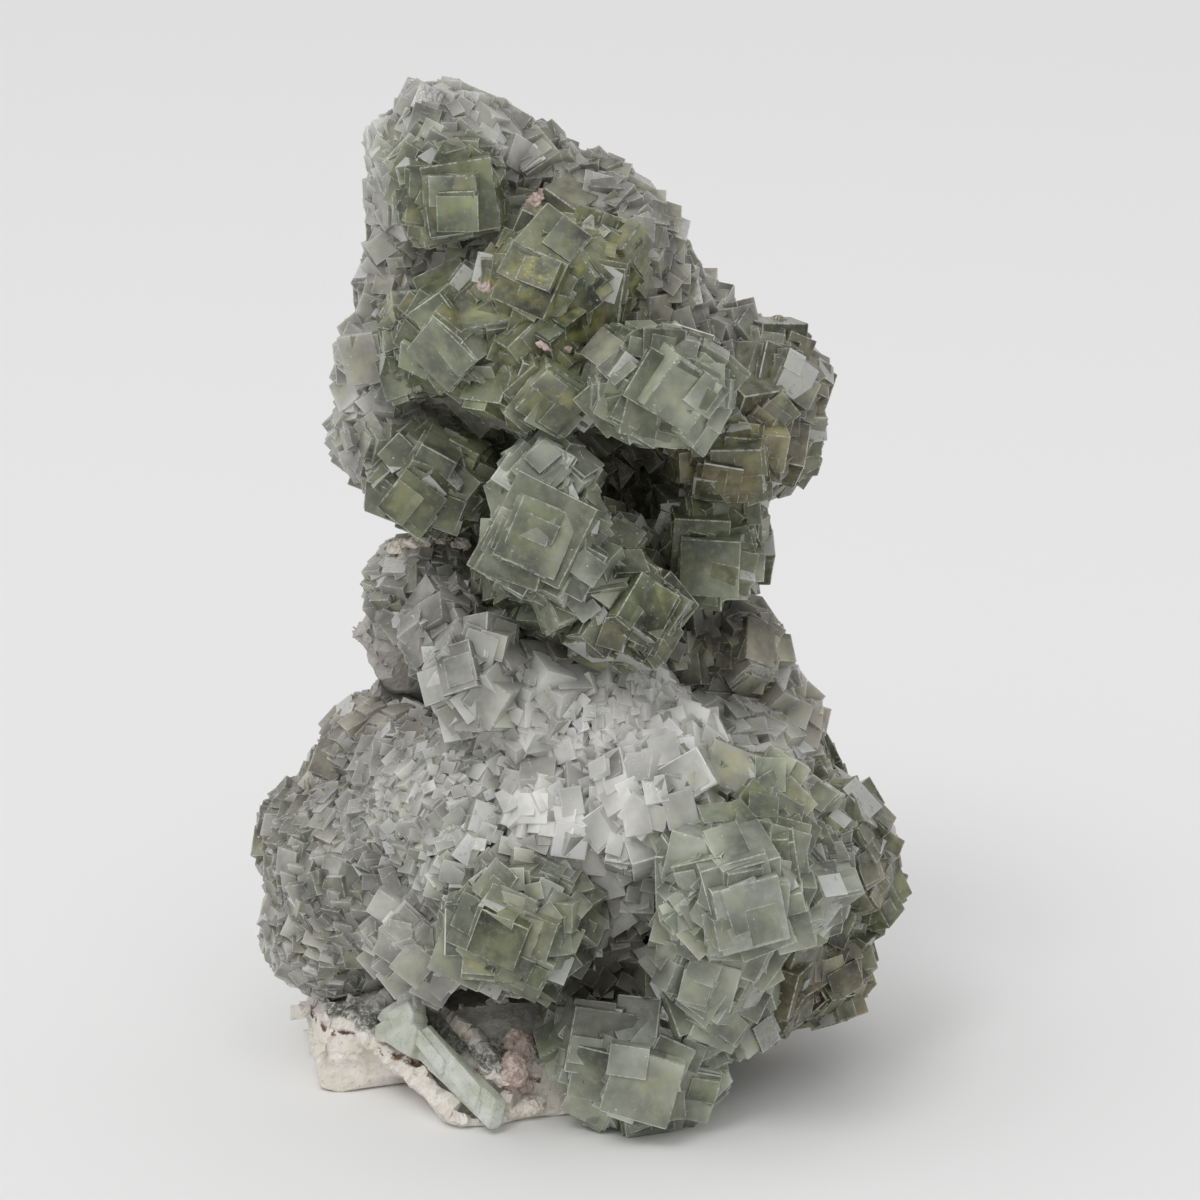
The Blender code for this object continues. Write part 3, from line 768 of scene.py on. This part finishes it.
def buildCluster():
    joinKnobs()
    placed = list(allCrystals())
    visible = inSight(placed)
    print("crystals grown:", len(placed), "in sight:", len(visible))
    rockRoom = copyNode("matrix_rock", -cluster["rootDepth"])
    bladeRoom = copyNode("pale_spar_blade", -1)
    clearSelection()
    bpy.ops.mesh.primitive_cube_add(size=0.4, location=(0, 0, -0.2))
    ground = bpy.context.object
    waist = cluster["waist"]
    knobs = cluster["knobs"].values()
    pieces = []
    for name, upper in (("upperCrystals", True), ("lowerCrystals", False)):
        own = [knob for knob in knobs if (knob[2] > waist) == upper]
        grown = [crystal for crystal in visible if (crystal[0].z > waist) == upper]
        pieces.append(buildPiece(name, own, grown, (rockRoom, bladeRoom, ground)))
    for helper in (rockRoom, bladeRoom, ground):
        bpy.data.objects.remove(helper)
    return pieces


def fourValues(g, name):
    # the three colour channels and the alpha of a face attribute
    split = g.node("ShaderNodeSeparateColor", {}, {0: g.attribute(name)}).socket.node
    return *(Wire(g, socket) for socket in split.outputs[:3]), g.attribute(name, 3)


def fluoriteMaterial():
    g, colours = Graph("fluorite"), cluster["colours"]
    green, yellow, milk, brown = fourValues(g, "zone")
    tint, frost, heart, core = fourValues(g, "grain")
    wide, tall, *_ = fourValues(g, "span")
    creaseShadeAndStain = g.attribute("creaseShadeAndStain", 2)
    uv = g.node("ShaderNodeUVMap", {"uv_map": "facet"})
    facet = g.node("ShaderNodeSeparateXYZ", {}, {0: uv}).socket.node
    u, v = Wire(g, facet.outputs[0]), Wire(g, facet.outputs[1])
    rim = (u * wide).least((1 - u) * wide).least(v * tall).least((1 - v) * tall)   # mm to the nearest edge
    inner = rim / (wide.least(tall) + 0.01)
    cloud = g.noise(12, 1)
    drift = g.noise(4.5, 2, 0.6)
    wisps = g.noise(1.5, 3, 0.75)
    # grey-lilac to white where it is milky, olive to leaf green where it is clear
    pale = g.mix(cloud.between(0.35, 0.7), colours["milk"], colours["paleMilk"])
    pale = g.mix(milk.between(0.7, 0.95), pale, colours["snow"])
    dark = g.mix(drift.between(0.3, 0.7), colours["olive"], colours["paleOlive"])
    base = g.mix(milk.between(0.0, 0.8), dark, pale)
    leaf = g.mix(milk.between(0.1, 0.8), colours["leaf"], colours["paleLeaf"])
    base = g.mix((green * 0.8).least(1.0), base, leaf)
    glow = drift.between(0.3, 0.62) * inner.between(-0.1, 0.35) * yellow * (0.5 + heart)
    glow = (glow * (1 - core)).least(1.0)
    base = g.mix(glow * 0.85, base, colours["glow"])
    base = g.mix(brown * cloud.between(0.3, 0.65) * 0.75, base, colours["brown"])
    # each face shades from a deep side to a light side, and fine milky veils cross it
    slant = (u - 0.5) * (tint * 2 - 1) + (v - 0.5) * (heart * 2 - 1)
    uneven = (tint - 0.5) * 0.4 + slant * 0.95 + drift.between(0.3, 0.7, -0.2, 0.2)
    shade = (0.95 + uneven * (1.05 - milk * 0.65)).most(0.25)
    shades = g.node("ShaderNodeCombineColor", {}, {0: shade, 1: shade, 2: shade})
    base = g.mix(1.0, base, shades, "MULTIPLY")
    base = g.mix(wisps.between(0.48, 0.75) * 0.3, base, colours["veil"])
    # pale lines along the crystal edges: painted highlight where the edges catch the light, with some real
    # whitish chipping
    line = rim.between(0.03, 0.26, 1.0, 0.0) * wisps.between(0.35, 0.6, 0.1, 1.0) * (1 - core)
    base = g.mix(line * (0.55 - milk * 0.4), base, colours["edge"])
    # painted shade with some brown stain: near-black in the valleys and the shaded hollows, and on the cores
    # at the bottom of the crevices
    base = g.mix((creaseShadeAndStain * (0.95 - milk * 0.7)).most(core * 0.85), base, colours["creviceShadeAndStain"])
    # painted glints: white specks, kept out of the shaded creases, and white faces that are partly frost and
    # partly painted highlight
    glintSpeck = g.noise(0.7, 0).between(0.82, 0.88) * (1 - creaseShadeAndStain)
    frostAndGlint = (frost.between(0.93, 0.97) * wisps.between(0.25, 0.5, 0.5, 1.0)).most(glintSpeck * 0.7)
    base = g.mix(frostAndGlint * 0.75, base, colours["frost"])
    rough = 0.10 + wisps.between(0.4, 0.8) * 0.18 + frostAndGlint * 0.25 + line * 0.15 + core * 0.5
    steps = (inner * 7 + heart).math("FRACT").between(0.0, 0.1)     # growth steps along the edges
    height = g.noise(1.1, 1, 0.7) * 0.9 + steps * 0.3
    bump = g.node("ShaderNodeBump", {}, {"Strength": 0.35, "Distance": 0.00028, "Height": height})
    sockets = {"Base Color": base, "Roughness": rough, "Normal": bump, "IOR": 1.434,
               "Subsurface Radius": (1.0, 1.05, 0.9)}
    clear = g.node("ShaderNodeBsdfPrincipled", {}, {**sockets, "Transmission Weight": 0.8})
    cloudy = g.node("ShaderNodeBsdfPrincipled", {}, {**sockets, "Transmission Weight": 0.1,
                                                     "Subsurface Weight": 0.5, "Subsurface Scale": 0.005})
    opacity = milk.between(0.1, 0.9, 0.48, 0.85) + cloud.between(0.4, 0.7) * 0.2
    opacity = (opacity + core + line * 0.3).least(1.0)
    surface = g.node("ShaderNodeMixShader", {}, {0: opacity, 1: clear, 2: cloudy})
    volume = g.node("ShaderNodeVolumeAbsorption", {}, {"Color": (0.66, 0.72, 0.56, 1), "Density": 10})
    return g.finish(surface, volume)


fluorite = fluoriteMaterial()
for crystalPiece in buildCluster():
    crystalPiece.data.materials.clear()
    crystalPiece.data.materials.append(fluorite)
    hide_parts("fluorite_cluster")
    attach(crystalPiece, "root")
print("cluster done")


# Matrix rock: the CAD rock weathered, always inwards
rock = {
    "voxel": 0.95,                # mm
    "chips": (10, 2.2),           # size and depth in mm
    "pits": (2.4, 0.5),
    "ledges": (22, 2.6, 1.6),     # length, height and depth
    "grit": (1.3, 0.55),
    "ledgeTilt": (6, -4),         # degrees
    "flatUpTo": 3.5,              # mm above the underside; the wear grows from none to its full depth there
    "wearFrom": 0.2,              # of that height
    "colours": {
        "cream": (0.80, 0.74, 0.65), "paleCream": (0.95, 0.92, 0.86), "grain": (0.36, 0.30, 0.23),
        "grey": (0.38, 0.375, 0.34), "paleGrey": (0.60, 0.58, 0.53), "vein": (0.72, 0.68, 0.60),
        "stain": (0.34, 0.27, 0.20), "dash": (0.07, 0.035, 0.022), "rust": (0.34, 0.20, 0.11),
        "greenBand": (0.085, 0.10, 0.07), "fleck": (0.16, 0.12, 0.09),
    },
}


def wear(piece, name, kind, size, depth, guide=None):
    pattern = bpy.data.textures.new(name, kind)
    pattern.noise_scale = size * mm if guide is None else 1
    if kind == "VORONOI":
        pattern.weight_1, pattern.weight_2 = -1, 1    # grooves between the cells
    step = piece.modifiers.new(name, "DISPLACE")
    step.texture = pattern
    step.strength = depth * mm
    step.mid_level = 1            # nothing goes outwards
    step.vertex_group = "worn"
    if guide:
        step.texture_coords = "OBJECT"
        step.texture_coords_object = guide
    else:
        step.texture_coords = "LOCAL"


def buildRock():
    piece = copyNode("matrix_rock", 0)
    piece.name = "matrixRock"
    step = piece.modifiers.new("remesh", "REMESH")
    step.mode = "VOXEL"
    step.voxel_size = rock["voxel"] * mm
    applyModifiers(piece)
    worn = piece.vertex_groups.new(name="worn")
    for point in piece.data.vertices:
        share = point.co.z / mm / rock["flatUpTo"] - rock["wearFrom"]
        worn.add([point.index], min(max(share, 0), 1), "REPLACE")
    clearSelection()
    bpy.ops.object.empty_add(rotation=[math.radians(angle) for angle in (*rock["ledgeTilt"], 0)])
    guide = bpy.context.object
    long, high, deep = rock["ledges"]
    guide.scale = (long * mm, long * mm, high * mm)
    wear(piece, "chips", "VORONOI", *rock["chips"])
    wear(piece, "ledges", "CLOUDS", 1, deep, guide)
    wear(piece, "pits", "VORONOI", *rock["pits"])
    wear(piece, "grit", "CLOUDS", *rock["grit"])
    applyModifiers(piece)
    bpy.data.objects.remove(guide)
    piece.data.calc_loop_triangles()
    print("rock triangles:", len(piece.data.loop_triangles))
    return piece


def rockMaterial():
    g, colours = Graph("paleMatrix"), rock["colours"]
    place = g.node("ShaderNodeTexCoord", out=3)
    split = g.node("ShaderNodeSeparateXYZ", {}, {0: place}).socket.node
    along, up = Wire(g, split.outputs[0]), Wire(g, split.outputs[2])
    sway, fret = g.noise(16, 3), g.noise(2.5, 4, 0.6)
    level = up / mm + sway * 6 + fret * 2.5 - 4.2 + (along / mm + 34) * 0.12     # mm, warped bands
    grit, blotch = g.noise(0.9, 5, 0.75), g.noise(5, 4, 0.6)
    base = g.mix(blotch.between(0.35, 0.65), colours["cream"], colours["paleCream"])
    base = g.mix(grit.between(0.5, 0.72) * 0.45, base, colours["grain"])
    veins = g.noise(7, 6, 0.7, distortion=1.5)
    grey = g.mix(blotch.between(0.2, 0.8), colours["grey"], colours["paleGrey"])
    grey = g.mix(veins.between(0.55, 0.75) * 0.5, grey, colours["vein"])
    grey = g.mix(g.noise(20, 3).between(0.5, 0.75) * 0.45, grey, colours["stain"])
    base = g.mix(level.between(12, 15), base, grey)
    dashes = level.between(9.2, 9.7) * level.between(10.1, 10.8, 1.0, 0.0) * fret.between(0.45, 0.55)
    base = g.mix(dashes, base, colours["dash"])
    rust = level.between(6, 9) * level.between(11, 13, 1.0, 0.0) * blotch.between(0.5, 0.7)
    base = g.mix(rust * 0.5, base, colours["rust"])
    band = level.between(12, 13.5) * level.between(16, 19, 1.0, 0.0)
    base = g.mix(band * grit.between(0.42, 0.55) * 0.85, base, colours["greenBand"])
    base = g.mix(grit.between(0.64, 0.72) * 0.5, base, colours["fleck"])
    rough = 0.72 + grit * 0.25
    height = grit + blotch * 0.5
    bump = g.node("ShaderNodeBump", {}, {"Strength": 0.8, "Distance": 0.0006, "Height": height})
    sockets = {"Base Color": base, "Roughness": rough, "Normal": bump}
    return g.finish(g.node("ShaderNodeBsdfPrincipled", {}, sockets))


rockPiece = buildRock()
rockPiece.data.materials.clear()
rockPiece.data.materials.append(rockMaterial())
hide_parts("matrix_rock")
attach(rockPiece, "root")
print("rock done")


# Spar blade: cleaved plates lying on each other, fanned at the head
blade = {
    "head": (-36, -23, 19),       # mm
    "tip": (-14, -43, 4),
    "face": (-0.5, -0.8, 0.25),   # the way its broad side looks
    # plates: shift along, across and out from the middle, then length, width, thickness and turn
    "plates": [
        (4.5, -0.4, -0.6, 24, 5.4, 3.2, 0),
        (2, 0.9, 0.8, 20, 3.8, 1.8, -4),
        (6, -1.5, 0.6, 15, 2.2, 1.8, 3),
        (-3, 0.2, 1.4, 11, 2.6, 1.6, -7),
        (10, 0.8, 0.2, 9, 2.0, 2.0, 6),
        (-8.5, -1.0, 0.6, 7.5, 6.0, 4.6, 12),
        (-11, 1.4, 0.6, 7, 5.6, 4.4, -24),
        (-12.5, 3.4, -0.4, 6.5, 4.4, 3.6, -46),
        (-12, -2.8, -0.2, 7, 4.4, 3.8, 34),
        (-14, 0.2, -1.0, 5, 7.0, 3.6, 0),
        (-7, -2.8, -1.2, 7, 3.2, 3.2, 18),
    ],
    "cut": 24,                    # degrees that a plate's ends are cleaved at
    "cutAt": 0.46,                # from its middle, as a share of its length
    "cutLean": 0.25,
    "round": 0.11,                # of a plate's edges, as a share of its thickness
}


def addPlate(along, across, out, length, width, thickness, turn):
    clearSelection()
    bpy.ops.mesh.primitive_cube_add(size=1, location=(along * mm, across * mm, out * mm),
                                    scale=(length * mm, width * mm, thickness * mm),
                                    rotation=(0, 0, math.radians(turn)))
    plate = bpy.context.object
    bpy.ops.object.transform_apply(location=True, rotation=True, scale=True)
    slant = math.radians(blade["cut"])
    bpy.ops.object.mode_set(mode="EDIT")
    for end in (-1, 1):
        bpy.ops.mesh.select_all(action="SELECT")
        spot = ((along + end * length * blade["cutAt"]) * mm, across * mm, out * mm)
        away = (end * math.cos(slant), math.sin(slant), blade["cutLean"])
        bpy.ops.mesh.bisect(plane_co=spot, plane_no=away, use_fill=True, clear_outer=True)
    bpy.ops.mesh.select_all(action="SELECT")
    bpy.ops.mesh.bevel(offset=blade["round"] * thickness * mm, affect="EDGES", segments=2)
    bpy.ops.mesh.normals_make_consistent(inside=False)
    bpy.ops.object.mode_set(mode="OBJECT")
    return plate


def buildBlade():
    plates = [addPlate(*row) for row in blade["plates"]]
    piece = plates[0]
    piece.name = "sparBlade"
    for plate in plates[1:]:
        boolean(piece, "UNION", plate)
    applyModifiers(piece)
    for plate in plates[1:]:
        bpy.data.objects.remove(plate)
    head, tip = Vector(blade["head"]), Vector(blade["tip"])
    along = (tip - head).normalized()
    face = Vector(blade["face"])
    out = (face - along * face.dot(along)).normalized()
    turn = Matrix((along, out.cross(along), out)).transposed().to_4x4()
    piece.data.transform(Matrix.Translation((head + tip) / 2 * mm) @ turn)
    return piece


def sparMaterial():
    g = Graph("paleSpar")
    streak = g.noise(2.2, 4, 0.6, distortion=1.4)
    milk = g.noise(5, 3)
    base = g.mix(milk.between(0.35, 0.65), (0.64, 0.67, 0.56), (0.88, 0.90, 0.84))
    base = g.mix(streak.between(0.48, 0.68) * 0.4, base, (0.34, 0.37, 0.29))
    base = g.mix(g.noise(1, 3).between(0.6, 0.7) * 0.5, base, (0.78, 0.79, 0.74))
    rough = 0.18 + streak * 0.25
    bump = g.node("ShaderNodeBump", {}, {"Strength": 0.4, "Distance": 0.0003, "Height": streak})
    sockets = {"Base Color": base, "Roughness": rough, "Normal": bump, "IOR": 1.5,
               "Transmission Weight": 0.3, "Subsurface Weight": 0.6, "Subsurface Scale": 0.003,
               "Subsurface Radius": (1.0, 1.0, 0.9)}
    return g.finish(g.node("ShaderNodeBsdfPrincipled", {}, sockets))


bladePiece = buildBlade()
bladePiece.data.materials.clear()
bladePiece.data.materials.append(sparMaterial())
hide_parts("pale_spar_blade")
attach(bladePiece, "root")
print("blade done")


# Crumbs of pink clay and of cream rock in the crevices
crumbs = {
    # px across and down in the photo, half sizes across, deep, up in mm, and the kind
    "spots": [
        (518, 1050, 3.4, 2.6, 3.8, "clay"),
        (512, 1072, 3.0, 2.6, 4.0, "clay"),
        (524, 1084, 2.2, 2.0, 2.2, "clay"),
        (534, 205, 1.7, 1.4, 2.2, "clay"),
        (541, 196, 1.2, 1.2, 1.4, "clay"),
        (488, 287, 2.0, 1.4, 1.3, "clay"),
        (546, 346, 1.8, 1.4, 1.2, "clay"),
        (566, 348, 1.2, 1.0, 1.0, "clay"),
        (400, 548, 2.6, 2.0, 1.6, "cream"),
        (418, 544, 3.0, 2.0, 1.5, "cream"),
        (440, 542, 2.8, 2.0, 1.4, "cream"),
        (460, 546, 2.4, 2.0, 1.4, "cream"),
        (512, 1112, 3.0, 2.4, 1.6, "cream"),
        (530, 1114, 3.2, 2.4, 2.0, "cream"),
        (541, 1118, 2.2, 2.0, 1.5, "cream"),
    ],
    "sink": 0.35,                 # how far a crumb sits in the surface behind it, as a share of its depth
    "lift": 1.25,                 # a crumb's middle stays this many half heights above the floor
    # coats of relief: the size of their lumps and their height in mm
    "coats": [(2.1, 1.44), (0.7, 0.9)],
    "reliefLevel": 0.6,
    "looks": {
        "clay": {
            "blotch": 1.6, "grit": 0.5, "grainsFrom": 0.5, "grainShare": 0.6, "bump": 0.6,    # mm, mm, shares
            "rough": 0.8, "roughGrit": 0.15,
            "dark": (0.46, 0.35, 0.30), "light": (0.68, 0.58, 0.53), "grains": (0.14, 0.085, 0.06),
        },
        "cream": {
            "blotch": 2, "grit": 0.6, "grainsFrom": 0.55, "grainShare": 0.4, "bump": 0.5,
            "rough": 0.7, "roughGrit": 0.2,
            "dark": (0.70, 0.60, 0.50), "light": (0.88, 0.84, 0.78), "grains": (0.40, 0.32, 0.24),
        },
    },
}


def firstHit(across, down):
    # where the sight line of a spot in the photo meets the finished pieces
    eye, ray = sightLine(across, down)
    graph = bpy.context.evaluated_depsgraph_get()
    hit, spot, *_ = bpy.context.scene.ray_cast(graph, eye * mm, ray)
    return spot / mm if hit else None


def addCrumb(spot, sizes):
    clearSelection()
    bpy.ops.mesh.primitive_ico_sphere_add(subdivisions=5, radius=1, location=spot * mm,
                                          scale=[size * mm for size in sizes])
    crumb = bpy.context.object
    settle(crumb)
    for size, height in crumbs["coats"]:
        step = crumb.modifiers.new("relief", "DISPLACE")
        step.texture = bpy.data.textures.new("lumps", "CLOUDS")
        step.texture.noise_scale = size * mm
        step.texture_coords = "LOCAL"
        step.strength = height * mm
        step.mid_level = crumbs["reliefLevel"]
    applyModifiers(crumb)
    return crumb


def crumbMaterial(name, look):
    g = Graph(name)
    blotch, grit = g.noise(look["blotch"], 4, 0.6), g.noise(look["grit"], 4, 0.7)
    base = g.mix(blotch.between(0.35, 0.65), look["dark"], look["light"])
    base = g.mix(grit.between(look["grainsFrom"], 0.7) * look["grainShare"], base, look["grains"])
    bump = g.node("ShaderNodeBump", {}, {"Strength": look["bump"], "Distance": 0.0003, "Height": grit})
    rough = look["rough"] + grit * look["roughGrit"]
    sockets = {"Base Color": base, "Roughness": rough, "Normal": bump}
    return g.finish(g.node("ShaderNodeBsdfPrincipled", {}, sockets))


def buildCrumbs(kind, name):
    rows = [row for row in crumbs["spots"] if row[5] == kind]
    spots = [firstHit(*row[:2]) for row in rows]
    made = []
    for row, spot in zip(rows, spots):
        if spot:
            spot.y += row[3] * crumbs["sink"]
            spot.z = max(spot.z, row[4] * crumbs["lift"])
            made.append(addCrumb(spot, row[2:5]))
    clearSelection()
    for crumb in made:
        crumb.select_set(True)
    bpy.context.view_layer.objects.active = made[0]
    bpy.ops.object.join()
    piece = bpy.context.object
    piece.name = name
    return piece


for kind, name, finish in (("clay", "pinkClay", "pinkClay"), ("cream", "creamCrumbs", "creamCrumb")):
    crumbPiece = buildCrumbs(kind, name)
    crumbPiece.data.materials.clear()
    crumbPiece.data.materials.append(crumbMaterial(finish, crumbs["looks"][kind]))
    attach(crumbPiece, "root")
print("crumbs done")


# Stage
stage = {
    "floorSize": 12,              # m
    "floorColour": (0.86, 0.86, 0.86),
    "worldLight": 0.62,
    "boxPower": 13,               # W
    "boxSize": 0.8,               # m
    "boxPlace": (-0.8, -1.5, 2.2),
    "sunStrength": 0.72,
    "sunSpread": 70,              # degrees, for soft shadows
    "sunFrom": (-0.25, -0.55, 1.0),
}


def floorMaterial():
    g = Graph("paleFloor")
    tone = g.mix(g.noise(30, 2) * 0.06, stage["floorColour"], (0.82, 0.82, 0.81))
    return g.finish(g.node("ShaderNodeBsdfPrincipled", {}, {"Base Color": tone, "Roughness": 0.95}))


clearSelection()
bpy.ops.mesh.primitive_plane_add(size=stage["floorSize"], location=(0, 0, 0))
floor = bpy.context.object
floor.name = "floor"
floor.data.materials.append(floorMaterial())
world = bpy.data.worlds.new("studio")
bpy.context.scene.world = world
world.use_nodes = True
world.node_tree.nodes["Background"].inputs["Color"].default_value = (1, 1, 1, 1)
world.node_tree.nodes["Background"].inputs["Strength"].default_value = stage["worldLight"]
bpy.ops.object.light_add(type="SUN", location=stage["sunFrom"])
sun = bpy.context.object
sun.name = "softbox"
sun.rotation_euler = (-Vector(stage["sunFrom"])).to_track_quat("-Z", "Y").to_euler()
sun.data.energy = stage["sunStrength"]
sun.data.angle = math.radians(stage["sunSpread"])
bpy.ops.object.light_add(type="AREA", location=stage["boxPlace"])
box = bpy.context.object
box.name = "smallSoftbox"
box.rotation_euler = (Vector(cameraSet["aim"]) * mm - box.location).to_track_quat("-Z", "Y").to_euler()
box.data.energy = stage["boxPower"]
box.data.size = stage["boxSize"]
bpy.context.scene.view_settings.view_transform = "Standard"
